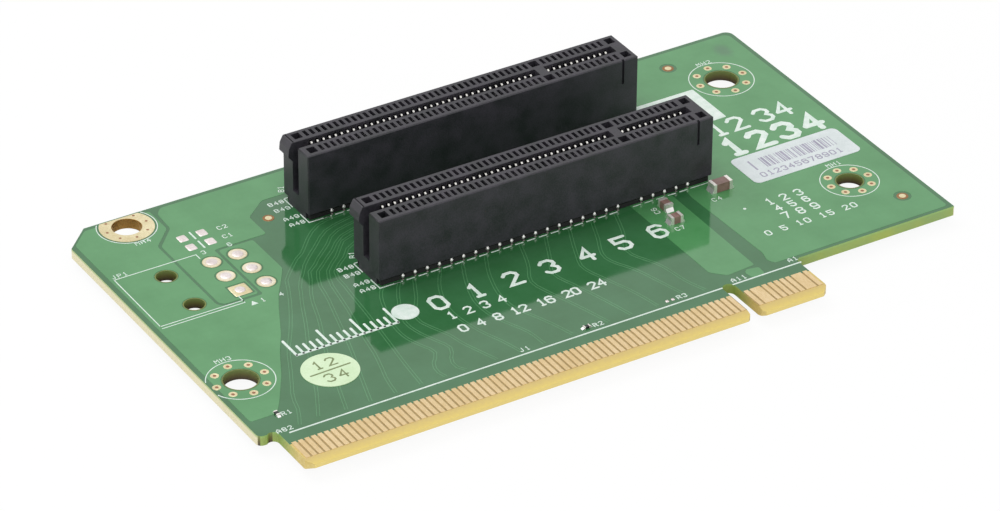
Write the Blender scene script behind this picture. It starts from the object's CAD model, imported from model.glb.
from functools import partial

import bmesh
import bpy
import numpy as np
from mathutils import Matrix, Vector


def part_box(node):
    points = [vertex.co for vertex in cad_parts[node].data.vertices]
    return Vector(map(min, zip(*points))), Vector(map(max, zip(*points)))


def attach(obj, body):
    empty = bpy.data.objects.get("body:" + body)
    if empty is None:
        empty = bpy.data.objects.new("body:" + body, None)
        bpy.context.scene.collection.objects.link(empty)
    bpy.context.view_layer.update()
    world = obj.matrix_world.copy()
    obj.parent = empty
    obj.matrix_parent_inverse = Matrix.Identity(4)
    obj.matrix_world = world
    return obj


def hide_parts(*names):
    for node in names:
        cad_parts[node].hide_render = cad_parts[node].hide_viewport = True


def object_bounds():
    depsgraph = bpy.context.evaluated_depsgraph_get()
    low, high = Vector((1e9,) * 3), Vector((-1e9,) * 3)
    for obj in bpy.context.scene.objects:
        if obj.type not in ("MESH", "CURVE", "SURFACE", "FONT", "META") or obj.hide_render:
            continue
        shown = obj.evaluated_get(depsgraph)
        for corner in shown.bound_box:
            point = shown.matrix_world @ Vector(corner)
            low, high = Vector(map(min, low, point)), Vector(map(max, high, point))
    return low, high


# Looks of a two-slot riser card: a green masked board with a gold edge tab and two black slot connectors.
# Every length below is in millimetres in the card's own frame, and MM turns it to metres.

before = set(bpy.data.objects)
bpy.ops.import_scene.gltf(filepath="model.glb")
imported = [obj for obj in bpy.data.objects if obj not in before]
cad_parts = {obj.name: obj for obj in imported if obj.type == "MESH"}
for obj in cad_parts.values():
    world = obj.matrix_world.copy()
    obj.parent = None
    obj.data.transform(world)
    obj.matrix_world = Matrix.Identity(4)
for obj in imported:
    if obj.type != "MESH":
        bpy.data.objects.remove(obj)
solid_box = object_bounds()
MM = 0.001


# ------ where things are, as the solids have them
def extent(node):
    """The low and the high corner of a solid's box, in millimetres."""
    return (np.array(corner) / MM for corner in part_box(node))


board_low, board_high = extent("circuit_board")
top, under = board_high[2], board_low[2]
COPPER, INK = top + 0.03, top + 0.055
fingers_low, fingers_high = extent("edge_contacts_front")
fingers_middle, fingers_half = (fingers_low[0] + fingers_high[0]) / 2, (fingers_high[0] - fingers_low[0]) / 2
# The mask opens this far in front of the fingers' inner ends.
mask_edge = fingers_high[1] - 0.3

# Slot connectors: 11 contacts right of the key and 38 left of it. Every second pair's tails are further out.
front_low, front_high = extent("front_slot_housing")
rear_low, rear_high = extent("rear_slot_housing")
front_middle, rear_middle = (front_low[1] + front_high[1]) / 2, (rear_low[1] + rear_high[1]) / 2
rim, rim_height = front_high[2], 11.0
key_x, key_to_contact, contact_to_end = -0.9, 1.5, 3.0
contact_x = np.concatenate([(key_x + key_to_contact + np.arange(11))[::-1],
                            key_x - key_to_contact - np.arange(38)])
outer = np.arange(1, len(contact_x) + 1) % 2 == 0
inner_row, outer_row = 1.25, 3.25
open_end = contact_x[-1] - contact_to_end

# Bolt holes at the front left, front right and rear right, and the plated ground hole at the rear left.
bolt_holes, bolt_radii = ((-70.35, 22.3), (30.95, 22.3), (30.95, 56.25)), (2.5, 2.0, 2.5)
ground_hole, ground_radius = (-65.5, 65.15), 2.25
# The unfitted header's peg holes and pads, and the test points.
peg_holes, peg_radius = ((-66.8, 42.25), (-66.8, 50.65)), 1.5
header_round = ((-59.5, 46.45), (-59.5, 50.65), (-55.3, 42.25), (-55.3, 46.45), (-55.3, 50.65))
header_square = (-59.5, 42.25)
test_points = ((-46.85, 56.85), (25.8, 63.15), (35.15, 14.9))


# ------ colour and nodes
def linear(code):
    """Linear colour of an sRGB hex code: each channel through the sRGB curve, with a straight foot."""
    channel = np.array([int(code[i:i + 2], 16) for i in (1, 3, 5)]) / 255
    curve = np.where(channel <= 0.04045, channel / 12.92, ((channel + 0.055) / 1.055) ** 2.4)
    return (*curve.tolist(), 1.0)


def add(tree, kind, inputs=(), stops=None, **settings):
    """Adds one node: settings are its switches, inputs its values or the nodes and sockets that feed it, in
    order or by socket, and stops a ramp's colours. A Mix has its share at socket 0, numbers at 2 and 3 and
    colours at 6 and 7, and a MapRange its value and then its two ranges."""
    made = tree.nodes.new("ShaderNode" + kind)
    for name, value in settings.items():
        setattr(made, name, value)
    for name, value in inputs.items() if isinstance(inputs, dict) else enumerate(inputs):
        if isinstance(value, bpy.types.Node):  # its first live output
            value = next(socket for socket in value.outputs if socket.enabled)
        if isinstance(value, bpy.types.NodeSocket):
            tree.links.new(value, made.inputs[name])
        else:
            made.inputs[name].default_value = value
    if stops:
        while len(made.color_ramp.elements) < len(stops):
            made.color_ramp.elements.new(0.5)
        for element, (place, code) in zip(made.color_ramp.elements, stops):
            element.position = place
            element.color = linear(code)
    return made


def finish_named(name):
    """An empty material, what adds a node to it, and its texture coordinates."""
    material = bpy.data.materials.new(name)
    material.use_nodes = True
    material.node_tree.nodes.clear()
    new = partial(add, material.node_tree)
    return material, new, new("TexCoord")


def grained(name, dark, light, grain_mm, roughness, bump=0.15, metallic=0.0, ior=1.5, stretch=(1, 1, 1),
            mottle_mm=None):
    """A finish of two close colours mixed by a noise of a real grain size, which also roughens and lifts the
    skin, and by a mottling, nine grains wide unless its size is given."""
    material, new, place = finish_named(name)
    spread = new("Mapping", {"Vector": place.outputs["Object"], "Scale": stretch})
    grain = new("TexNoise", {"Vector": spread, "Scale": 1 / (grain_mm * MM), "Detail": 4.0})
    mottle_mm = mottle_mm or 9 * grain_mm
    cloud = new("TexNoise", {"Vector": spread, "Scale": 1 / (mottle_mm * MM), "Detail": 2.0})
    both = new("Math", (grain, cloud), operation="ADD")
    half = new("Math", (both, 0.5), operation="MULTIPLY")
    colour = new("ValToRGB", (half,), stops=((0.36, dark), (0.64, light)))
    rough = new("MapRange", (half, 0.3, 0.7, *roughness))
    lift = new("Bump", {"Height": grain, "Strength": bump, "Distance": 0.2 * grain_mm * MM})
    shader = new("BsdfPrincipled", {"Base Color": colour, "Roughness": rough, "Metallic": metallic,
                                    "Normal": lift})
    if not metallic:
        shader.inputs["IOR"].default_value = ior
    new("OutputMaterial", (shader,))
    return material


# ------ finishes
def bare_board(new, place):
    """Where the board is bare, and its colour there: bare are the sides, which don't look straight up or down
    and are sawn, drilled or milled, and the tab in front of the mask's edge."""
    where = place.outputs["Object"]
    x, y, z = new("SeparateXYZ", (where,)).outputs
    facing = new("SeparateXYZ", (place.outputs["Normal"],))
    upright = new("Math", (facing.outputs["Z"],), operation="ABSOLUTE")
    almost_level, almost_plumb = 0.96, 0.1
    side = new("Math", (upright, almost_level), operation="LESS_THAN")
    level_face = new("Math", (upright, almost_level), operation="GREATER_THAN")
    tab = new("Math", (y, mask_edge * MM), operation="LESS_THAN")
    bare = new("Math", (side, tab), operation="MAXIMUM")
    fibre = new("TexNoise", {"Vector": where, "Scale": 1 / (0.5 * MM), "Detail": 3.0})
    resin = new("TexNoise", {"Vector": where, "Scale": 1 / (8 * MM), "Detail": 2.0})
    # Saw-cut outline: the ends show pale resin, and the long edges an olive one that wanders towards yellow,
    # with a greener line under the mask.
    saw, cut_corner, behind_tab = 0.1, 4.2, 9.0
    olive = new("ValToRGB", (resin,), stops=((0.35, "#84a35d"), (0.65, "#a0b048")))
    from_middle = new("Math", (x, (board_low[0] + board_high[0]) / 2 * MM), operation="SUBTRACT")
    out_by = new("Math", (from_middle,), operation="ABSOLUTE")
    at_end = new("Math", (out_by, ((board_high[0] - board_low[0]) / 2 - saw) * MM), operation="GREATER_THAN")
    under_mask = new("MapRange", (z, (top - 0.4) * MM, (top - 0.2) * MM, 0, 0.7))
    # Drilled walls, the sides inside the outline and behind the tab: brown below and olive at the mouth.
    depth = new("MapRange", (z, under * MM, top * MM))
    wall = new("ValToRGB", (depth,), stops=((0.1, "#43321a"), (0.5, "#66622c"), (0.9, "#788a46")))
    slant = new("Math", (y, x), operation="SUBTRACT")
    hole = 1.0
    for value, limit, test in (
            (x, board_low[0] + saw, "GREATER_THAN"), (x, board_high[0] - saw, "LESS_THAN"),
            (y, behind_tab, "GREATER_THAN"), (y, board_high[1] - saw, "LESS_THAN"),
            (slant, board_high[1] - board_low[0] - cut_corner, "LESS_THAN")):
        within = new("Math", (value, limit * MM), operation=test)
        hole = new("Math", (hole, within), operation="MULTIPLY")
    # Bare tab: pale at its ends, shaded brown in the narrow gaps between the fingers, bright at the tip.
    flat = new("ValToRGB", (fibre,), stops=((0.35, "#cfb564"), (0.65, "#dac479")))
    shaded = new("ValToRGB", (fibre,), stops=((0.35, "#9a814d"), (0.65, "#aa915b")))
    along = new("Math", (x, fingers_middle * MM), operation="SUBTRACT")
    off_middle = new("Math", (along,), operation="ABSOLUTE")
    in_row = new("Math", (off_middle, fingers_half * MM), operation="LESS_THAN")
    gap = new("Math", (in_row, level_face), operation="MULTIPLY")
    bared = new("Mix", {0: gap, 6: flat, 7: shaded}, data_type="RGBA")
    at_tip = new("Math", (y, 0.05 * MM), operation="LESS_THAN")
    tip = new("Mix", {0: at_tip, 6: bared, 7: linear("#e7d079")}, data_type="RGBA")
    # On the sides the change from green to yellow is gradual, and on the faces it is the mask's edge.
    fading = new("MapRange", (y, 7.5 * MM, 2.5 * MM))
    turned_yellow = new("Mix", {0: level_face, 2: fading, 3: tab})
    # Milled bevel: brightest low down, near the tip's half thickness, and streaked by the cutter.
    tip_half = 0.31
    tipped = new("Math", (upright, almost_plumb), operation="GREATER_THAN")
    bevel = new("Math", (side, tipped), operation="MULTIPLY")
    height = new("Math", (z,), operation="ABSOLUTE")
    rise = new("MapRange", (height, tip_half * MM, top * MM, 0, 0.8))
    milling = new("MapRange", (fibre, 0.35, 0.65, 0, 0.2))
    wear = new("Math", (rise, milling), operation="ADD")
    milled = new("ValToRGB", (wear,), stops=((0.05, "#e3cb6d"), (0.9, "#d0b673")))
    colour = olive
    for share, over in ((at_end, linear("#e4dcb6")), (under_mask, linear("#90b762")), (hole, wall),
                        (turned_yellow, tip), (bevel, milled)):
        colour = new("Mix", {0: share, 6: colour, 7: over}, data_type="RGBA")
    return bare, colour


def solder_mask(name, dark, light, laminate=False, rubbed=None):
    """Liquid photo-imaged mask, cured glossy: the glass weave under it is a barely seen check, and its skin
    ripples. With laminate, faces that it doesn't cover show the bare board; rubbed is the middle of a faint
    smear of ink."""
    material, new, place = finish_named(name)
    where = place.outputs["Object"]
    # The glass threads lie 0.5 and 0.6 mm apart, and are drawn twice as coarse so that they show at all.
    warp, weft = (new("TexWave", {"Vector": where, "Scale": 0.32 / (pitch * MM) / 2}, bands_direction=way)
                  for pitch, way in ((0.5, "X"), (0.6, "Y")))
    weave = new("Math", (warp.outputs["Fac"], weft.outputs["Fac"]), operation="MULTIPLY")
    flow = new("TexNoise", {"Vector": where, "Scale": 1 / (7 * MM), "Detail": 3.0, "Roughness": 0.6})
    speck = new("TexNoise", {"Vector": where, "Scale": 1 / (0.25 * MM), "Detail": 2.0})
    faint = new("MapRange", (weave, 0, 1, 0, 0.03))
    cloud = new("Math", (flow, faint), operation="ADD")
    colour = new("ValToRGB", (cloud,), stops=((0.28, dark), (0.72, light)))
    rough = new("MapRange", (flow, 0.3, 0.7, 0.05, 0.10))
    lift = new("Bump", {"Height": weave, "Strength": 0.03, "Distance": 0.01 * MM})
    skin = new("Bump", {"Height": speck, "Strength": 0.04, "Distance": 0.01 * MM, "Normal": lift})
    if rubbed:
        # The smear is longer along y than along x, and ragged at its edge.
        along_y = 0.7
        offset = new("Mapping", {"Vector": where, "Scale": (1, along_y, 0),
                                 "Location": (-rubbed[0] * MM, -rubbed[1] * along_y * MM, 0)})
        away = new("VectorMath", (offset,), operation="LENGTH")
        ragged = new("MapRange", (speck, 0, 1, -0.5 * MM, 0.5 * MM))
        edge = new("Math", (away, ragged), operation="ADD")
        smear = new("MapRange", (edge, 0.6 * MM, 1.7 * MM, 0.5, 0))
        colour = new("Mix", {0: smear, 6: colour, 7: linear("#4e6b58")}, data_type="RGBA")
    if laminate:
        bare, board = bare_board(new, place)
        colour = new("Mix", {0: bare, 6: colour, 7: board}, data_type="RGBA")
        rough = new("Mix", {0: bare, 2: rough, 3: 0.55})
    shader = new("BsdfPrincipled", {"Base Color": colour, "Roughness": rough, "IOR": 1.64, "Normal": skin})
    new("OutputMaterial", (shader,))
    return material


# Mask over bare laminate is the deeper green between the copper areas, and glass and resin show at its edges.
masked_board = solder_mask("solder_mask_over_laminate", "#2f693a", "#3b7448", laminate=True)
# The same mask over a copper pour is lighter and yellower, since the copper shines through it.
masked_copper = solder_mask("solder_mask_over_copper", "#4a8c53", "#579960", rubbed=(35.9, 63.4))
# Over thin traces the mask stands a little proud and looks half way between the two.
masked_trace = solder_mask("solder_mask_over_traces", "#44804f", "#548f60")

# Metals are grained finishes too, fully metallic.
metal = partial(grained, metallic=1.0)
# Hard gold electroplate: pale warm gold, wiped by earlier insertions along the fingers.
hard_gold = metal("hard_gold_plate", "#ddc18e", "#ecd3a8", 0.4, (0.22, 0.3), 0.03, stretch=(1.5, 0.5, 1.0))
# Immersion gold on open pads: thin and satin, a little pinker than the fingers.
pad_gold = metal("immersion_gold_plate", "#d6c79c", "#e9dfba", 0.3, (0.28, 0.42), 0.08)
# Gold pad wetted by a thin film of tin: creamy, between the gold and the solder that stands on it.
tinned_gold = metal("tinned_gold_pad", "#dcd0b6", "#eee7d4", 0.3, (0.3, 0.45), 0.1)
# Wave-soldered tin alloy: bright, faintly pink silver with soft frosting.
solder_tin = metal("reflowed_solder", "#d8cbc8", "#efe7e5", 0.3, (0.3, 0.42), 0.06)
# Matt tin on chip ends.
matt_tin = metal("matt_tin_end_cap", "#dedad4", "#f4f1ec", 0.12, (0.48, 0.62))
# Wave-soldered pin shoulders: frosted, so that they catch the light from all round.
frosted_tin = metal("frosted_solder", "#efeceb", "#fbf9f8", 0.2, (0.42, 0.55), 0.1)
# Stamped pin below its soldered shoulder: duller, darker tin.
pin_metal = metal("stamped_pin_tin", "#6f6a66", "#8f8a85", 0.2, (0.3, 0.45), 0.1)
# Formed copper-alloy springs, tin plated: bright silver with a trace of warmth.
spring_metal = metal("tin_plated_phosphor_bronze", "#dcdad4", "#f2f0ea", 0.15, (0.2, 0.3), 0.05)
# Glass-filled moulded nylon: blue-black with a fine spark-eroded grain and greyer rubbed edges.
moulded_black = grained("glass_filled_nylon_moulded", "#1b1d20", "#38343d", 0.22, (0.42, 0.58), 0.5, ior=1.53,
                        mottle_mm=3.0)
# The same plastic deep under the connector's walls: unpolished tool marks that give back almost no light.
recessed_black = grained("glass_filled_nylon_recess", "#0a0b0c", "#131314", 0.22, (0.7, 0.85), 0.3, ior=1.53)
# Fired ceramic capacitor body: pinkish brown, dense and slightly waxy.
fired_ceramic = grained("fired_ceramic", "#76584f", "#94766e", 0.12, (0.35, 0.5), ior=1.6)
# Glass-coated resistor film: near black, and shinier than the moulded plastic.
resistor_glaze = grained("resistor_glaze", "#17171a", "#232327", 0.1, (0.2, 0.35), 0.1)
# Epoxy legend ink: slightly chalky white with the green showing through its thin spots.
legend_ink = grained("epoxy_legend_ink", "#cfe4d7", "#f0f7f2", 0.12, (0.42, 0.6), 0.3)
# Coated label paper, cool and faintly mottled, and its soft grey thermal print.
label_paper = grained("coated_label_paper", "#d3dcdc", "#e1e8e9", 0.2, (0.35, 0.5), 0.08, ior=1.48)
thermal_print = grained("thermal_print", "#9995a8", "#b0adbe", 0.15, (0.5, 0.65), 0.05, ior=1.45)
# Pale green vinyl dot with a low sheen, and its stamped olive ink.
green_vinyl = grained("pale_green_vinyl", "#cfe8bd", "#def2cf", 0.3, (0.35, 0.48), 0.08, ior=1.48)
stamp_ink = grained("stamped_ink", "#6f7d52", "#8d9a70", 0.15, (0.5, 0.65), 0.05, ior=1.45)
# Bare laminate round drilled holes: ochre-green resin and glass, cut matt.
cut_laminate = grained("drilled_laminate", "#5f6d32", "#7a8540", 0.15, (0.45, 0.65), 0.1)
# The thin unplated edge of copper round a test point, browned by air.
bare_copper = metal("oxidised_copper", "#8a6344", "#a27a55", 0.15, (0.4, 0.6), 0.1)
# Plating down the wall of the ground hole: thicker, rougher and browner than on the flat.
hole_plating = metal("plated_hole_wall", "#a98246", "#c19c5e", 0.2, (0.35, 0.5))
# The shaded, reddish bore of a plated via.
via_bore = grained("via_bore", "#87553a", "#a6734f", 0.1, (0.4, 0.6), 0.1)


# ------ shapes as arrays
def grid_faces(rows, columns, copies=1, ring_rows=False, ring_columns=False):
    """Quads between the neighbours of a rows by columns grid of points, for each of many grids in a row."""
    r = np.arange(rows if ring_rows else rows - 1)[:, None]
    c = np.arange(columns if ring_columns else columns - 1)[None, :]
    here, right = r * columns + c, r * columns + (c + 1) % columns
    up, far = (r + 1) % rows * columns + c, (r + 1) % rows * columns + (c + 1) % columns
    one = np.stack([here, right, far, up], -1).reshape(-1, 4)
    return (one[None] + (np.arange(copies) * rows * columns)[:, None, None]).reshape(-1, 4)


def stacked(x, y, z):
    """Points in a row from the coordinates of a grid, which broadcast against each other."""
    return np.stack(np.broadcast_arrays(x, y, z), -1).reshape(-1, 3)


def joined(parts):
    """Several (points, faces) pairs as one: points stacked, each pair's faces counted on from the last."""
    start = np.cumsum([0] + [len(points) for points, _ in parts[:-1]])
    return (np.concatenate([points for points, _ in parts]),
            np.concatenate([faces + first for (_, faces), first in zip(parts, start)]))


def finished(mesh, finish):
    """Gives a mesh one finish in place of any that it has."""
    mesh.materials.clear()
    mesh.materials.append(finish)


def placed(name, data):
    """An object that holds some data, linked to the scene."""
    thing = bpy.data.objects.new(name, data)
    bpy.context.scene.collection.objects.link(thing)
    return thing


def dressed(name, mesh, finish, smooth=False, stands_for=None):
    """Makes a mesh a piece of the card, with its finish, its slot and the node that it stands for."""
    finished(mesh, finish)
    thing = placed(name, mesh)
    if smooth:
        mesh.shade_smooth()
        mesh.set_sharp_from_angle(angle=0.7)  # radians
    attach(thing, "root")
    if stands_for:
        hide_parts(stands_for)


def piece(name, shape, finish, smooth=False, stands_for=None):
    """Puts points and quads into a mesh, closes its seams and poles, and makes it a piece of the card."""
    points, faces = shape
    mesh = bpy.data.meshes.new(name)
    mesh.from_pydata((np.asarray(points, float) * MM).tolist(), [], faces.tolist())
    work = bmesh.new()
    work.from_mesh(mesh)
    bmesh.ops.remove_doubles(work, verts=work.verts, dist=2e-7)
    work.to_mesh(mesh)
    work.free()
    dressed(name, mesh, finish, smooth, stands_for)


def turned(profile, centres, sides):
    """A (radius, height) profile round an upright axis at each centre: x = cx + r cos a, y = cy + r sin a."""
    profile, centres = np.asarray(profile, float), np.asarray(centres, float).reshape(-1, 2)
    angle = np.arange(sides) * 2 * np.pi / sides
    r, z = profile[None, :, None, 0], profile[None, :, None, 1]
    x = centres[:, None, None, 0] + r * np.cos(angle)
    y = centres[:, None, None, 1] + r * np.sin(angle)
    return stacked(x, y, z), grid_faces(len(profile), sides, len(centres), ring_columns=True)


def on_face(profile, sign=1):
    """A (radius, height) profile stood on the board's upper face, or hung mirrored from its under face."""
    return np.array(profile)[::sign] * (1, sign) + (0, top if sign > 0 else under)


def ring(centre, radius, start=0.0, stop=360.0, count=48):
    """Points of an arc about a centre, from one angle in degrees to another."""
    angle = np.radians(np.linspace(start, stop, count, endpoint=stop - start < 360))
    return np.stack([centre[0] + radius * np.cos(angle), centre[1] + radius * np.sin(angle)], -1)


def strip(path, width, low, high, loop=False, square=False):
    """A printed or etched line: a low trapezium section carried along a path, widened along the mitre at each
    corner. Past each end its half-width falls as the cosine of the angle whose sine gives how far past the
    end it is; the last point closes it. A square one stops after a few degrees of that."""
    path = np.asarray(path, float)
    half = np.full(len(path), width / 2)
    if not loop:
        angle = np.radians([4.0, 2.0, 0.5] if square else [90.0, 50.0, 20.0])
        first = (path[0] - path[1]) / np.linalg.norm(path[0] - path[1])
        last = (path[-1] - path[-2]) / np.linalg.norm(path[-1] - path[-2])
        path = np.concatenate([path[0] + first * np.sin(angle)[:, None] * width / 2, path,
                               path[-1] + last * np.sin(angle)[::-1, None] * width / 2])
        cap = np.cos(angle) * width / 2
        cap[0] = 0
        half = np.concatenate([cap, half, cap[::-1]])
        step = np.diff(path, axis=0)
        into, out = np.concatenate([step[:1], step]), np.concatenate([step, step[-1:]])
    else:
        into, out = path - np.roll(path, 1, 0), np.roll(path, -1, 0) - path
    into, out = (v / np.linalg.norm(v, axis=1, keepdims=True) for v in (into, out))
    left = np.stack([-(into + out)[:, 1], (into + out)[:, 0]], -1)
    left /= np.maximum(np.linalg.norm(left, axis=1, keepdims=True), 1e-6)
    lean = np.clip(np.sum(left * np.stack([-out[:, 1], out[:, 0]], -1), axis=1), 0.45, 1)
    reach = (half / lean)[:, None, None] * left[:, None, :]
    across = np.array([1.0, 0.8, -0.8, -1.0])[None, :, None]
    flat = path[:, None, :] + reach * across
    points = stacked(flat[..., 0], flat[..., 1], [low, high, high, low])
    return points, grid_faces(len(path), 4, ring_rows=loop, ring_columns=True)


def plate(name, outlines, low, high, finish):
    """A thin plate inside its first outline and outside the others, with sides that slope at 45 degrees."""
    curve = bpy.data.curves.new(name, "CURVE")
    curve.dimensions, curve.fill_mode = "2D", "BOTH"
    curve.bevel_depth, curve.bevel_resolution, curve.offset = (high - low) * MM, 0, -(high - low) * MM
    for outline in outlines:
        edge = curve.splines.new("POLY")
        edge.points.add(len(outline) - 1)
        corners = np.zeros((len(outline), 4))
        corners[:, :2], corners[:, 3] = np.asarray(outline) * MM, 1
        edge.points.foreach_set("co", corners.ravel())
        edge.use_cyclic_u = True
    holder = bpy.data.objects.new(name + "_curve", curve)
    mesh = bpy.data.meshes.new_from_object(holder)
    bpy.data.objects.remove(holder)
    mesh.transform(Matrix.Translation((0, 0, low * MM)))
    mesh.name = name
    dressed(name, mesh, finish)


points_per_corner = 5


def rounded(corners, radius):
    """A closed outline from the x and y of its corners in turn: each corner becomes a quadratic arc between
    points a radius back."""
    p = np.reshape(corners, (-1, 2))
    back, on = np.roll(p, 1, 0) - p, np.roll(p, -1, 0) - p
    reach_back, reach_on = np.linalg.norm(back, axis=1), np.linalg.norm(on, axis=1)
    cut = np.minimum(radius, 0.45 * np.minimum(reach_back, reach_on))[:, None]
    a, b = p + back / reach_back[:, None] * cut, p + on / reach_on[:, None] * cut
    t = np.linspace(0, 1, points_per_corner)[None, :, None]
    return ((1 - t) ** 2 * a[:, None] + 2 * t * (1 - t) * p[:, None] + t ** 2 * b[:, None]).reshape(-1, 2)


def oblong(left, front, right, rear, radius):
    """A rectangle with rounded corners, from its four sides."""
    return rounded([left, front, right, front, right, rear, left, rear], radius)


# ------ copper areas under the mask
# Copper stays this far back from a hole, and clears pads and test points by these radii.
clear, wide_clear, round_header, round_point = 0.25, 0.3, 1.62, 1.3


def bitten(corners):
    """A rounded outline with an arc that clears the ground ring put in before its last two corners."""
    outline, last = rounded(corners, 0.5), 2 * points_per_corner
    return np.concatenate([outline[:-last], ring(ground_hole, 4.3, 30, -210), outline[-last:]])


peg_openings = [ring(centre, peg_radius + clear) for centre in peg_holes]
bolt_openings = [ring(centre, radius + wide_clear) for centre, radius in zip(bolt_holes, bolt_radii)]
header_openings = [ring(centre, round_header) for centre in header_round]
left_area = bitten([-74.2, 12.6, -70.05, 12.6, -68.45, 14.8, -65.05, 20.3, -62.4, 25.5, -60.05, 29.4,
                    -57.1, 35.3, -55.3, 38.6, -53.2, 41.6, -51.6, 44.1, -51.6, 52.9, -57.25, 52.9,
                    -57.25, 39.65, -63.3, 39.65, -64.15, 40.6, -64.15, 58.2, -60.75, 61.8, -60.75, 67.3,
                    -71.25, 67.3, -74.2, 64.35])
rear_area = rounded([-59.0, 67.3, -60.1, 66.0, -60.35, 61.6, -63.75, 57.9, -63.75, 40.8, -63.1, 40.1,
                     -57.65, 40.1, -57.65, 53.3, -49.4, 53.3, -49.1, 53.6, -49.1, 58.4, -45.4, 61.5, 9.3,
                     61.5, 9.3, 34.0, 8.6, 30.5, 9.1, 12.5, 8.55, 10.6, 9.2, 9.4, 38.9, 9.4, 39.3, 9.8,
                     39.3, 66.6, 38.6, 67.3], 0.5)
middle_area = rounded([-0.35, 12.1, 1.6, 10.1, 6.4, 10.5, 6.5, 34.0, 7.3, 44.0, -0.35, 44.0], 0.4)
key_area = rounded([4.0, 9.4, 4.3, 7.8, 6.4, 7.8, 6.6, 9.7, 4.6, 10.1], 0.4)
lower_area = bitten([-74.2, 12.6, -71.0, 9.6, 11.2, 9.6, 38.9, 9.4, 39.3, 9.8, 39.3, 66.6, 38.6, 67.3,
                     -71.25, 67.3, -74.2, 64.35])
for name, outlines in (
        ("left_copper_area", [left_area, ring(bolt_holes[0], bolt_radii[0] + clear)] + peg_openings
         + header_openings[2:]),
        ("rear_copper_area", [rear_area] + bolt_openings[1:] + header_openings[:2]
         + [ring(centre, round_point) for centre in test_points[1:]]
         + [oblong(-61.1, 40.65, -57.9, 43.85, 0.2)]),
        ("middle_copper_area", [middle_area]), ("key_copper_area", [key_area])):
    plate(name, outlines, top, COPPER, masked_copper)
plate("lower_copper_area", [lower_area] + bolt_openings + peg_openings
      + [oblong(-43.2, y - 4.4, 13.2, y + 4.4, 1.5) for y in (front_middle, rear_middle)],
      under, under - 0.03, masked_copper)


# ------ traces
def left_of(path):
    """Unit normals of a path: its central differences, a quarter turned to the left."""
    step = np.gradient(path, axis=0)
    return np.stack([-step[:, 1], step[:, 0]], -1) / np.linalg.norm(step, axis=1, keepdims=True)


def pair(path):
    """Two traces that follow one path: the path moved along its normal, half their distance to each side."""
    left, apart, width = left_of(path), 0.42, 0.15
    return [strip(path + left * side * apart / 2, width, top - 0.01, top + 0.02) for side in (1, -1)]


def bend(run, count):
    """A smooth run through points: each coordinate is a cubic in the chord length between them."""
    points = np.reshape(run, (-1, 2)) / 10
    length = np.concatenate([[0], np.cumsum(np.linalg.norm(np.diff(points, axis=0), axis=1))])
    slope = np.gradient(points, length, axis=0)
    t = np.linspace(0, length[-1], count)
    i = np.clip(np.searchsorted(length, t) - 1, 0, len(points) - 2)
    h = (length[i + 1] - length[i])[:, None]
    u = (t - length[i])[:, None] / h
    return ((2 * u ** 3 - 3 * u ** 2 + 1) * points[i] + (u ** 3 - 2 * u ** 2 + u) * h * slope[i]
            + (3 * u ** 2 - 2 * u ** 3) * points[i + 1] + (u ** 3 - u ** 2) * h * slope[i + 1])


# Each run is one pair, from a connector to the fingers: x and y of its points in turn, in tenths of 1 mm.
rear_runs = (
    (-305, 534, -360, 526, -416, 516, -453, 485, -470, 465, -490, 450, -511, 428, -526, 412, -535, 391,
     -550, 359, -582, 300, -618, 241, -630, 215, -649, 177, -663, 149, -672, 118, -687, 87),
    (-265, 524, -360, 512, -418, 495, -446, 470, -468, 450, -485, 433, -498, 415, -507, 404, -516, 391,
     -524, 374, -537, 348, -558, 300, -595, 223, -629, 144, -641, 120, -656, 91),
    (-225, 512, -360, 499, -413, 482, -433, 461, -455, 443, -472, 426, -490, 411, -498, 391, -507, 376,
     -518, 354, -537, 300, -570, 220, -603, 122, -615, 86),
    (-185, 500, -360, 485, -412, 467, -426, 452, -446, 435, -463, 420, -479, 406, -487, 389, -494, 370,
     -498, 348, -511, 300, -534, 218, -563, 130, -577, 86),
    (-145, 488, -360, 472, -409, 459, -429, 435, -446, 420, -463, 404, -470, 391, -477, 372, -481, 350,
     -490, 300, -508, 215, -513, 187, -522, 153, -532, 118, -537, 86),
    (-105, 475, -360, 458, -411, 439, -429, 419, -446, 406, -459, 391, -463, 360, -468, 318, -471, 287,
     -479, 225, -484, 187, -489, 153, -493, 118, -496, 87))
front_runs = (
    (-412, 336, -431, 310, -446, 270, -456, 230, -456, 196, -449, 172, -440, 146, -458, 118, -462, 103,
     -458, 86),
    (-386, 334, -403, 310, -418, 282, -438, 224, -432, 191, -425, 172, -416, 144, -432, 113, -434, 101,
     -426, 86),
    (-364, 334, -391, 280, -419, 224, -410, 196, -401, 172, -396, 146, -387, 118, -376, 86),
    (-320, 334, -356, 271, -368, 220, -364, 180, -356, 148, -347, 124, -337, 86),
    (-284, 334, -313, 271, -327, 220, -324, 180, -315, 154, -303, 124, -299, 86),
    (-246, 334, -276, 268, -288, 220, -286, 180, -274, 151, -262, 118, -253, 86),
    (-190, 334, -212, 271, -232, 226, -225, 195, -212, 154, -197, 101, -193, 86),
    (-146, 334, -174, 274, -194, 228, -185, 195, -169, 139, -156, 86),
    (-106, 334, -138, 260, -149, 229, -137, 180, -121, 130, -112, 86),
    (-68, 334, -88, 283, -108, 229, -88, 180, -74, 130, -62, 86),
    (-29, 334, -50, 274, -72, 226, -53, 177, -41, 112, -32, 86))
for which, runs, count in (("rear", rear_runs, 34), ("front", front_runs, 22)):
    piece(which + "_connector_traces", joined([trace for run in runs for trace in pair(bend(run, count))]),
          masked_trace)


# ------ legend lines
def line(*points, width=0.17):
    """One legend line through some points, given by their x and y in turn."""
    return strip(np.reshape(points, (-1, 2)), width, top, INK)


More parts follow.
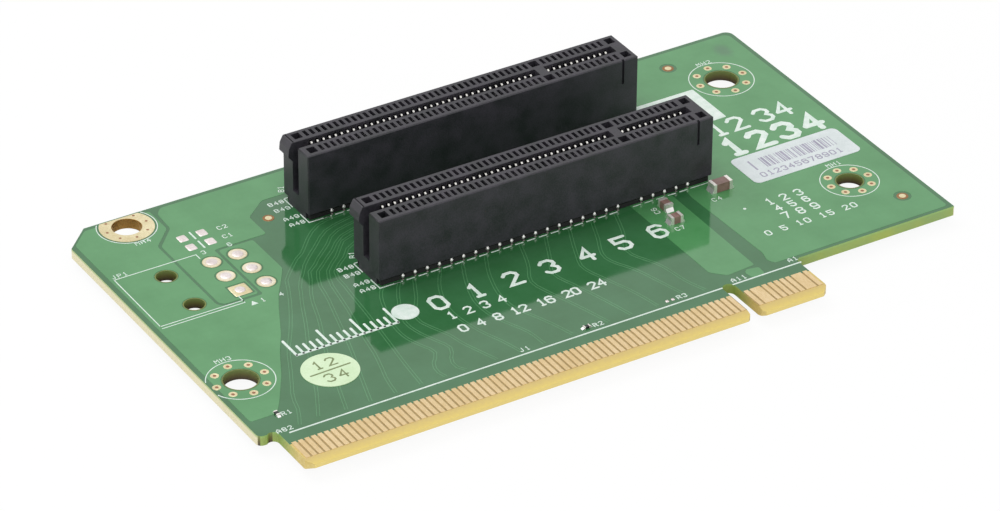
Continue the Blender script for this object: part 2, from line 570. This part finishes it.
def legend_ring(centre, radius, start=0, stop=360):
    """A legend circle, or an arc of one, about a hole."""
    return strip(ring(centre, radius, start, stop, 64), 0.16, top, INK, loop=stop - start >= 360)


# The line behind the fingers, then the outline of each connector with a tick between its outer pins.
legend = [line(-70.8, 7.7, -1.0, 7.7, width=0.26), line(0.9, 7.7, 12.4, 7.7, width=0.26)]
left, wall, tick = -42.4, 3.75, 0.62
for y in (front_middle, rear_middle):
    legend += [line(left, y - 1.2, left, y - wall, -39.0, y - wall),
               line(left, y + 1.2, left, y + wall), line(left, y + wall, 13.2, y + wall),
               line(9.9, y - wall, 13.5, y - wall)]
    legend += [line(x - tick, y - wall, x + tick, y - wall) for x in contact_x[outer] - 1.0]
legend += [legend_ring(bolt_holes[1], 4.35), legend_ring(bolt_holes[2], 4.95),
           legend_ring(bolt_holes[0], 4.83, -158, 158), legend_ring(ground_hole, 4.4, 146, 396)]
# The header's frame, and two marks beside the spare chip pads.
legend += [line(-73.6, 53.5, -60.5, 53.5, -60.5, 52.3),
           line(-60.5, 40.8, -60.5, 39.0, -73.6, 39.0),
           line(-60.5, 39.3, -60.5, 39.6, -73.6, 39.6), line(-73.6, 53.5, -73.6, 39.6),
           line(-58.5, 57.3, -58.5, 59.2, width=0.3), line(-58.5, 54.6, -58.5, 56.5, width=0.3)]
piece("legend_lines", joined(legend), legend_ink)

# ------ lettering
# Each character's strokes on a grid 4 wide and 6 high: x and y of each stroke's points in turn.
strokes = {
    "0": ((1, 0, 3, 0, 4, 1, 4, 5, 3, 6, 1, 6, 0, 5, 0, 1, 1, 0),), "1": ((1, 5, 2, 6, 2, 0), (1, 0, 3, 0)),
    "2": ((0, 5, 1, 6, 3, 6, 4, 5, 4, 4, 0, 0, 4, 0),),
    "3": ((0, 5, 1, 6, 3, 6, 4, 5, 4, 4, 3, 3, 4, 2, 4, 1, 3, 0, 1, 0, 0, 1),),
    "4": ((3, 0, 3, 6, 0, 2), (0, 2, 4, 2)),
    "5": ((4, 6, 0, 6, 0, 3.5, 3, 3.5, 4, 2.5, 4, 1, 3, 0, 1, 0, 0, 1),),
    "6": ((4, 5, 3, 6, 1, 6, 0, 5, 0, 1, 1, 0, 3, 0, 4, 1, 4, 2.5, 3, 3.5), (3, 3.5, 0, 3.5)),
    "7": ((0, 6, 4, 6, 1.5, 0),),
    "8": ((1, 3, 0, 4, 0, 5, 1, 6, 3, 6, 4, 5, 4, 4, 3, 3), (3, 3, 4, 2, 4, 1, 3, 0, 1, 0, 0, 1, 0, 2, 1, 3),
          (1, 3, 3, 3)),
    "9": ((0, 1, 1, 0, 3, 0, 4, 1, 4, 5, 3, 6, 1, 6, 0, 5, 0, 3.5, 1, 2.5), (1, 2.5, 4, 2.5)),
    "A": ((0, 0, 0, 4, 2, 6, 4, 4, 4, 0), (0, 2, 4, 2)),
    "B": ((0, 0, 0, 6, 3, 6, 4, 5, 4, 4, 3, 3), (0, 3, 3, 3), (3, 3, 4, 2, 4, 1, 3, 0, 0, 0)),
    "C": ((4, 1, 3, 0, 1, 0, 0, 1, 0, 5, 1, 6, 3, 6, 4, 5),),
    "H": ((0, 0, 0, 6), (4, 0, 4, 6), (0, 3, 4, 3)), "J": ((0, 1, 1, 0, 2, 0, 3, 1, 3, 6),),
    "M": ((0, 0, 0, 6, 2, 3.5, 4, 6, 4, 0),), "P": ((0, 0, 0, 6, 3, 6, 4, 5, 4, 4, 3, 3), (3, 3, 0, 3)),
    "R": ((0, 0, 0, 6, 3, 6, 4, 5, 4, 4, 3, 3), (3, 3, 0, 3), (2, 3, 4, 0)),
}


def lettering(text, middle, height=0.95, stroke=0.14, pitch=None, turn=0.0, low=top, high=INK):
    """Stroked characters centred on a point: each stroke's grid points are scaled, spaced by the pitch and
    turned. A character's strokes stand a little above each other, so that no two faces share a level."""
    unit, step = (height - stroke) / 6, 0.004
    pitch = pitch or 0.95 * height
    angle = np.radians(turn)
    spin = np.array([[np.cos(angle), np.sin(angle)], [-np.sin(angle), np.cos(angle)]])
    made = []
    for place, character in enumerate(text):
        for layer, path in enumerate(strokes.get(character, ())):
            closed = path[:2] == path[-2:]
            at = np.reshape(path[:-2] if closed else path, (-1, 2)) - (2.0, 3.0)
            at = at * unit + ((place - (len(text) - 1) / 2) * pitch, 0)
            made.append(strip(at @ spin + middle, stroke, low, high + step * layer, loop=closed))
    return made


# Pin numbers beside the connectors, designators, and numerals on plain ground.
words = []
for y in (rear_middle, front_middle):
    for text, rise in (("B48", 3.25), ("B49", 1.35), ("A49", -1.3), ("A48", -3.05)):
        words += lettering(text, (-44.0, y + rise))
words += lettering("B1", (-41.45, front_middle + 5.8), turn=65)
words += lettering("B1", (-41.5, rear_middle + 6.25), turn=65)
for text, x, y in (("A82", -71.1, 8.7), ("A11", 2.4, 8.6), ("A1", 11.8, 8.9), ("J1", -33.0, 8.8),
                   ("R2", -20.9, 8.9), ("R3", -7.0, 8.9), ("R1", -68.9, 12.1), ("C7", 2.6, 24.1),
                   ("C4", 11.5, 28.0), ("C2", -53.8, 58.1), ("C1", -54.2, 55.7), ("MH4", -65.4, 60.4),
                   ("MH3", -70.2, 27.8), ("MH1", 31.5, 27.3), ("MH2", 31.2, 61.6), ("JP1", -72.4, 54.2),
                   ("3", -59.3, 53.5), ("6", -55.1, 53.5), ("1", -58.0, 38.3), ("4", -55.1, 38.3)):
    words += lettering(text, (x, y))
words += lettering("C6", (2.1, 29.8), turn=90)
for text, x, y, height, stroke, pitch in (
        ("0 1 2 3 4 5 6", -18.9, 25.05, 3.7, 0.6, 3.05), ("1 2 3 4", -33.2, 21.3, 1.9, 0.3, 1.35),
        ("0 4 8 12 16 20 24", -26.2, 17.7, 1.9, 0.32, 1.42), ("1 2 3", 20.2, 23.5, 1.8, 0.3, 1.25),
        ("4 5 6", 20.2, 21.4, 1.6, 0.3, 1.2), ("7 8 9", 20.2, 19.2, 1.8, 0.3, 1.25),
        ("0 5 10 15 20", 20.2, 16.5, 1.4, 0.25, 1.35), ("1234", 28.6, 38.9, 5.2, 1.15, 4.6),
        ("12", 24.1, 44.3, 4.0, 0.7, 3.4), ("34", 32.2, 44.3, 4.0, 0.7, 3.4)):
    words += lettering(text, (x, y), height, stroke, pitch)
piece("legend_characters", joined(words), legend_ink)

# A ruler scale with every fifth mark long, and the other plain marks.
left, right, foot, short, long = -60.8, -44.6, 23.6, 2, 4
scale_marks = [line(left, foot, right, foot, width=0.45)]
scale_marks += [line(x, foot, x, foot + (short if i % 5 else long), width=0.42)
                for i, x in enumerate(np.linspace(left, right, 16))]
piece("legend_scale", joined(scale_marks), legend_ink)
for name, outline in (("legend_dot", ring((-42.4, 25.4), 2.0)),
                      ("legend_block", oblong(14.6, 46.7, 25.6, 56.0, 0.3)),
                      ("legend_speck", ring((13.5, 23.7), 0.28, count=12)),
                      ("pin_one_mark", ((-60.1, 37.8), (-58.9, 37.8), (-59.5, 38.9)))):
    plate(name, [outline], top, INK, legend_ink)

# ------ vias, pads and test points
# Eight stitching vias round each hole; two of the ground hole's would fall past the board's rear edge.
stitches = np.concatenate([ring(centre, r, count=8) for centre, r in zip(bolt_holes, (3.73, 3.25, 3.8))])
ground_stitches, rearmost = ring(ground_hole, 3.15, count=8), 67.6
ground_stitches = ground_stitches[ground_stitches[:, 1] < rearmost]
for sign, side in ((1, "upper"), (-1, "lower")):
    land = on_face([(0.66, 0.0), (0.62, 0.045), (0.29, 0.05), (0.24, 0.03)], sign)
    piece(side + "_via_rings", turned(land, stitches, 14), pad_gold, smooth=True)
    piece(side + "_via_bores", turned(on_face([(0.27, 0.044), (0.0, 0.036)], sign), stitches, 12), via_bore)
    pit = on_face([(0.22, 0.051), (0.2, 0.056), (0.0, 0.053)], sign)
    piece(side + "_ground_via_bores", turned(pit, ground_stitches, 10), via_bore)
    lip = np.array([(0.16, 0.005), (0.14, 0.012), (-0.02, 0.012), (-0.02, 0.0)])
    lips = [turned(on_face(lip + (r, 0), sign), spots, 48)
            for spots, r in (*zip(bolt_holes, bolt_radii), (peg_holes, peg_radius))]
    piece(side + "_hole_lips", joined(lips), cut_laminate)
inside = ground_radius - 0.03
barrel = [(ground_radius, top + 0.04), (inside, top + 0.02), (inside, under - 0.02),
          (ground_radius, under - 0.04)]
piece("ground_hole_barrel", turned(barrel, ground_hole, 48), hole_plating, smooth=True)

# Round things on the upper face: each a profile in (radius, height), its places and its number of sides.
dome = np.array([(1.0, 0.0), (0.985, 0.04), (0.88, 0.07), (0.66, 0.1), (0.4, 0.12), (0.16, 0.128),
                 (0.0, 0.13)])
for name, profile, places, sides, finish, slot, stands_for in (
        ("tented_vias", [(0.42, 0.0), (0.38, 0.02), (0.2, 0.022), (0.12, 0.008), (0.0, 0.006)],
         ((-49.4, 62.2), (-46.9, 62.4)), 14, masked_copper, "solder_mask_board", None),
        ("test_point_rims", [(0.88, 0.0), (0.84, 0.035), (0.4, 0.042)], test_points, 20, bare_copper,
         "gold_plating", None),
        ("test_points", [(0.55, 0.0), (0.52, 0.045), (0.3, 0.06), (0.0, 0.065)], test_points, 20, pad_gold,
         "gold_plating", None),
        ("header_tinning", [(1.26, 0.0), (1.24, 0.048), (0.5, 0.052), (0.0, 0.052)], header_round, 32,
         tinned_gold, "solder", None),
        ("header_solder", dome * (0.84, 1) + (0, 0.035), header_round, 32, solder_tin, "solder",
         "header_pads"),
        ("header_pad_rims", [(1.39, 0.0), (1.37, 0.04), (1.2, 0.045)], header_round, 32, pad_gold,
         "gold_plating", None)):
    piece(name, turned(on_face(profile), places, sides), finish, smooth=True, stands_for=stands_for)


def pillow(centre, half_x, half_y, height, square):
    """A soft-cornered mound: a superellipse of a given power, shrunk by cos a and raised by sin a."""
    rise = np.radians(np.linspace(0, 90, 7))
    angle = np.linspace(0, 2 * np.pi, 24, endpoint=False)
    reach = (np.abs(np.cos(angle)) ** square + np.abs(np.sin(angle)) ** square) ** (-1 / square)
    shrink = (np.cos(rise) ** 0.35)[:, None]
    x = centre[0] + half_x * shrink * reach * np.cos(angle)
    y = centre[1] + half_y * shrink * reach * np.sin(angle)
    points = stacked(x, y, top + height * np.sin(rise)[:, None])
    return points, grid_faces(len(rise), len(angle), ring_columns=True)


piece("header_square_pad", pillow(header_square, 1.38, 1.38, 0.05, 14.0), pad_gold,
      smooth=True)
piece("header_square_solder", turned(on_face(dome * (0.8, 0.9) + (0, 0.045)), header_square, 32), solder_tin,
      smooth=True)
spare = [pillow((-58.57 + side * 1.575, y), 0.725, 0.85, 0.12, 10.0) for y in (58.25, 55.6)
         for side in (-1, 1)]
piece("spare_pad_solder", joined(spare), solder_tin, smooth=True,
      stands_for="spare_capacitor_pads")
small_spare = [pillow((-9.0 + side * 0.475, 8.85), 0.25, 0.275, 0.1, 6.0) for side in (-1, 1)]
piece("small_spare_pad_solder", joined(small_spare), solder_tin, smooth=True,
      stands_for="spare_resistor_pads")


# ------ connector pins and springs
def connector_pins(name, middle, tail_node):
    """Round solder fillets with a pin's tip under the board, and for the outer rows a pin and its fillet
    above it, all turned from profiles."""
    off = np.where(outer, outer_row, inner_row)
    centres = np.concatenate([np.stack([contact_x, middle + side * off], -1) for side in (1, -1)])
    fillet = on_face([(0.6, 0.0), (0.56, 0.04), (0.38, 0.18), (0.27, 0.42), (0.21, 0.75), (0.19, 1.12),
                      (0.12, 1.2), (0.0, 1.22)], -1)
    piece(name + "_tail_solder", turned(fillet, centres, 12), solder_tin, smooth=True,
          stands_for=tail_node)
    tops = np.stack([contact_x[outer], np.full(outer.sum(), middle)], -1)
    tops = np.concatenate([tops + (0, outer_row), tops - (0, outer_row)])
    stem = on_face([(0.3, 0.0), (0.25, 0.03), (0.17, 0.1), (0.16, 0.4)])
    piece(name + "_outer_pins", turned(stem, tops, 12), pin_metal, smooth=True)
    shoulder = on_face([(0.15, 0.3), (0.24, 0.4), (0.28, 0.54), (0.26, 0.68), (0.17, 0.8), (0.15, 1.1)])
    piece(name + "_pin_shoulders", turned(shoulder, tops, 12), frosted_tin, smooth=True)


def spring_row(name, middle, side, node):
    """A row of bent strips: one centreline in the y-z plane, thickened along its normal, as wide as the strip
    along x, and narrower towards its tip."""
    path = np.array([(2.25, 3.1), (2.33, 3.9), (2.3, 4.8), (2.1, 5.8), (1.7, 6.8), (1.25, 7.7), (0.9, 8.5),
                     (0.66, 9.2), (0.52, 9.7), (0.46, 9.98), (0.5, 10.18), (0.64, 10.3), (1.0, 10.33),
                     (1.5, 10.38), (1.68, 10.5)])
    thick = 0.11 * np.array([1, 1, -1, -1])[None, :, None]
    wide = np.linspace(0.24, 0.11, len(path))[:, None] * np.array([-1, 1, 1, -1])[None, :]
    section = path[:, None] + left_of(path)[:, None] * thick
    points = stacked(contact_x[:, None, None] + wide, middle + side * section[..., 0], top + section[..., 1])
    faces = grid_faces(len(path), 4, len(contact_x), ring_columns=True)
    ends = np.array([[0, 1, 2, 3], [3, 2, 1, 0]]) + np.array([[0], [4 * (len(path) - 1)]])
    ends = (ends[None] + (np.arange(len(contact_x)) * 4 * len(path))[:, None, None]).reshape(-1, 4)
    faces = np.concatenate([faces, ends])
    piece(name, (points, faces if side > 0 else faces[:, ::-1]), spring_metal, smooth=True,
          stands_for=node)


def slot_housing(name, middle, node):
    """A merged copy of the solid moulding, moved by rule: its underside and bottom chamfer go up, its slot
    mouth closes to a finer chamfer, and its end face is drawn flat where the hook of its own goes."""
    raised, foot_low, foot_high = 0.72, 0.3, 0.55
    slot_half, solid_chamfer, fine_chamfer, near = 0.85, 0.2, 0.05, 0.01
    work = bmesh.new()
    work.from_mesh(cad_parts[node].data)
    bmesh.ops.remove_doubles(work, verts=work.verts, dist=1e-6)
    mesh = bpy.data.meshes.new(name)
    work.to_mesh(mesh)
    work.free()
    points, corners = np.empty(3 * len(mesh.vertices)), np.empty(len(mesh.loops), int)
    mesh.vertices.foreach_get("co", points)
    mesh.loops.foreach_get("vertex_index", corners)
    bpy.data.meshes.remove(mesh)
    x, y, z = points.reshape(-1, 3).T / MM
    height, aside = z - top, np.abs(y - middle)
    fine = rim_height - fine_chamfer
    z = np.where((height > foot_low) & (height < foot_high), z + raised, z)
    at_mouth = (height > fine) & (np.abs(aside - slot_half - solid_chamfer) < near)
    y = np.where(at_mouth, middle + np.sign(y - middle) * (slot_half + fine_chamfer), y)
    below_mouth = (np.abs(height - rim_height + solid_chamfer) < near) & (np.abs(aside - slot_half) < near)
    z = np.where(below_mouth, top + fine, z)
    piece(name, (stacked(np.maximum(x, open_end), y, z), corners.reshape(-1, 3)), moulded_black,
          stands_for=node)


def recessed_foot(name, middle):
    """The moulding's foot, set in behind its walls: four rows of box corners, drawn in at the two ends."""
    set_in, half_depth = 0.4, 3.28
    low = np.array([open_end + set_in, middle - half_depth])
    high = np.array([front_high[0] - set_in, middle + half_depth])
    corners = np.array([(1, 1), (-1, 1), (-1, -1), (1, -1)]) * (high - low) / 2
    flat = (low + high) / 2 + corners[None] * np.array([0.0, 1.0, 1.0, 0.0])[:, None, None]
    points = stacked(flat[..., 0], flat[..., 1], top + np.array([0.06, 0.06, 0.8, 0.8])[:, None])
    piece(name, (points, grid_faces(4, 4, ring_columns=True)), recessed_black)


def end_hook(name, middle):
    """The latch nose on the open end: a (reach, drop) profile carried along y and shrunk at both ends."""
    profile = np.array([(-0.3, 0.0), (0.0, 0.0), (0.07, 0.05), (0.5, 0.88), (0.56, 1.02), (0.68, 2.18),
                        (0.64, 2.32), (0.0, 3.13), (-0.3, 3.13)])
    rows, shrink = np.array([3.62, 3.62, 3.56, 0.9, 0.87, 0.87]), np.array([0.0, 0.96, 1.0, 1.0, 0.98, 0.0])
    heart = np.array([0.1, 1.7])
    section = heart + (profile - heart)[None] * shrink[:, None, None]
    points = stacked(open_end - section[..., 0], (middle + rows)[:, None], rim - section[..., 1])
    piece(name, (points, grid_faces(len(rows), len(profile), ring_columns=True)), moulded_black)


for which, middle in (("front", front_middle), ("rear", rear_middle)):
    slot_housing(which + "_connector_moulding", middle, which + "_slot_housing")
    end_hook(which + "_connector_hook", middle)
    recessed_foot(which + "_connector_foot", middle)
    connector_pins(which, middle, which + "_slot_tails")
    for side, row in ((-1, "front"), (1, "rear")):
        spring_row(f"{which}_springs_{row}", middle, side, f"{which}_slot_contacts_{row}_row")

# ------ printed label and sticker
# Print stands a little out of the paper and the vinyl. The label's bars and gaps take turns, by these widths.
print_low, print_high = -0.01, 0.012
_, label_high = extent("barcode_label")
low, high = label_high[2] + print_low, label_high[2] + print_high
widths = np.array([
    3, 14, 2, 1, 4, 2, 1, 1, 3, 2, 2, 1, 1, 4, 1, 2, 3, 1, 2, 1, 4, 2, 1, 3, 1, 1, 2, 4, 2, 1, 1, 2, 3, 1,
    1, 3, 2, 1, 4, 1, 2, 2, 1, 3, 1, 2, 1, 1, 4, 2, 3, 1, 1, 2, 2, 3, 1, 4, 1, 1])
bars_left, bars_across, bars_front, bars_rear = 20.9, 14.4, 31.6, 34.3
edges = bars_left + np.concatenate([[0], np.cumsum(widths)]) * bars_across / widths.sum()
bars = [strip([((a + b) / 2, bars_front), ((a + b) / 2, bars_rear)], b - a, low, high, square=True)
        for a, b in zip(edges[:-1:2], edges[1::2])]
digits = lettering("012345678901", (27.8, 30.1), 1.35, 0.24, 1.22, low=low, high=high)
piece("label_bars", joined(bars), thermal_print)
piece("label_digits", joined(digits), thermal_print)
dot_low, dot_high = extent("inspection_sticker")
dot_x, dot_y = (dot_low[:2] + dot_high[:2]) / 2
low, high = dot_high[2] + print_low, dot_high[2] + print_high
marks = []
for text, rise in (("12", 1.75), ("34", -1.7)):
    marks += lettering(text, (dot_x, dot_y + rise), 2.1, 0.32, 2.1, low=low, high=high)
marks += [strip([(dot_x - 3.1, dot_y - 0.1), (dot_x + 3.1, dot_y + 0.05)], 0.34, low, high)]
piece("sticker_marks", joined(marks), stamp_ink)

# ------ finishes on the solids that stay
stays = {"circuit_board": masked_board, "edge_contacts_front": hard_gold, "edge_contacts_back": hard_gold,
         "ground_ring": pad_gold, "barcode_label": label_paper, "inspection_sticker": green_vinyl}
for chip in ("large_capacitor", "small_capacitor_left", "small_capacitor_rear", "left_resistor",
             "tab_resistor"):
    body = fired_ceramic if "capacitor" in chip else resistor_glaze
    stays |= {chip + "_body": body, chip + "_terminals": matt_tin, chip + "_solder": frosted_tin}
for node, material in stays.items():
    finished(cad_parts[node].data, material)

# ------ floor, light and camera
# The camera sees the floor as 93% plain white, so that it keeps a little of the card's shadow.
reach, level = 1.5, solid_box[0].z
floor_mesh = bpy.data.meshes.new("floor")
floor_mesh.from_pydata([(x * reach, y * reach, level) for x, y in ((-1, -1), (1, -1), (1, 1), (-1, 1))], [],
                       [(0, 1, 2, 3)])
floor = placed("floor", floor_mesh)
material, new, place = finish_named("studio_paper_floor")
tone = new("TexNoise", {"Vector": place.outputs["Object"], "Scale": 6.0, "Detail": 2.0})
paper = new("ValToRGB", (tone,), stops=((0.3, "#fbfbfb"), (0.7, "#ffffff")))
matt_paper = new("BsdfPrincipled", {"Base Color": paper, "Roughness": 0.9})
share = new("Math", (new("LightPath").outputs["Is Camera Ray"], 0.93), operation="MULTIPLY")
paper_white = new("Emission", {"Color": (1, 1, 1, 1), "Strength": 1.0})
new("OutputMaterial", (new("MixShader", (share, matt_paper, paper_white)),))
finished(floor_mesh, material)

# The world lights the card at 0.62, and shows white to the camera, to gloss and through anything clear.
world = bpy.data.worlds.new("studio")
bpy.context.scene.world = world
world.use_nodes = True
world.node_tree.nodes.clear()
new = partial(add, world.node_tree)
ray = new("LightPath")
seen = new("Math", (ray.outputs["Is Camera Ray"], ray.outputs["Is Glossy Ray"]), operation="MAXIMUM")
seen = new("Math", (seen, ray.outputs["Is Transmission Ray"]), operation="MAXIMUM")
strength = new("MapRange", (seen, 0, 1, 0.62, 1.0))
new("OutputWorld", (new("Background", {"Color": (1, 1, 1, 1), "Strength": strength}),))


def stance(across, up, back, place):
    """A matrix whose columns are a lamp's or a camera's x, y and z axes and its place."""
    columns = np.eye(4)
    columns[:3] = np.stack([across, up, back, place], -1)
    return Matrix(columns.tolist())


def soft_lamp(name, place, aim, size, watts):
    """A square soft box: its -Z axis is turned to look from its place to its aim."""
    data = bpy.data.lights.new(name, "AREA")
    data.size, data.energy = size, watts
    back = (np.array(place) - aim) / np.linalg.norm(np.array(place) - aim)
    side = np.cross((0.0, 0.0, 1.0), back)
    side /= np.linalg.norm(side)
    placed(name, data).matrix_world = stance(side, np.cross(back, side), back, place)


soft_lamp("key_box", (-0.25, 0.35, 0.75), (-0.02, 0.03, 0.0), 0.6, 2.6)
soft_lamp("fill_box", (-0.35, -0.6, 0.6), (-0.02, 0.03, 0.0), 0.5, 2.0)

camera = bpy.data.cameras.new("camera")
camera.lens, camera.sensor_width = 178.7637, 36.0
camera.clip_start, camera.clip_end = 0.05, 5.0
eye = placed("camera", camera)
eye.matrix_world = stance((0.85475599, -0.51901128, 0.00441422), (0.27574587, 0.4612963, 0.84330892),
                          (-0.43972311, -0.71960615, 0.53741099), (-0.33455007, -0.47804815, 0.38106176))
bpy.context.scene.camera = eye
bpy.context.scene.view_settings.view_transform = "Standard"
